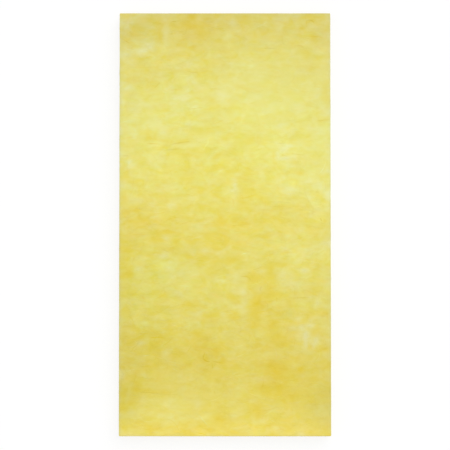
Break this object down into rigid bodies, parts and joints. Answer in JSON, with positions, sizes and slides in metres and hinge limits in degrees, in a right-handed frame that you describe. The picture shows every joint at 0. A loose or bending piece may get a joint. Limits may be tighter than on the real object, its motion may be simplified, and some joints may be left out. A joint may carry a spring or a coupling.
{
  "type": "rigid fiberglass insulation board",
  "caption": "Flat rectangular slab of yellow resin-bonded glass wool, unfaced, with square-cut edges, laid, glued or pinned against a surface as thermal and acoustic insulation.",
  "frame": {"origin": "centre of the back face, on the surface that the board lies on", "axes": "+X across the width, +Y along the length, +Z through the thickness from the back face to the front face"},
  "size_m": [0.6096, 1.2192, 0.0508],
  "materials": {
    "glass_wool": "matte felted glass fibre, straw yellow with paler wisps and amber binder clouds, layered on the cut edges"
  },
  "bodies": {
    "root": {"insulation_board": "glass_wool"}
  },
  "joints": []
}
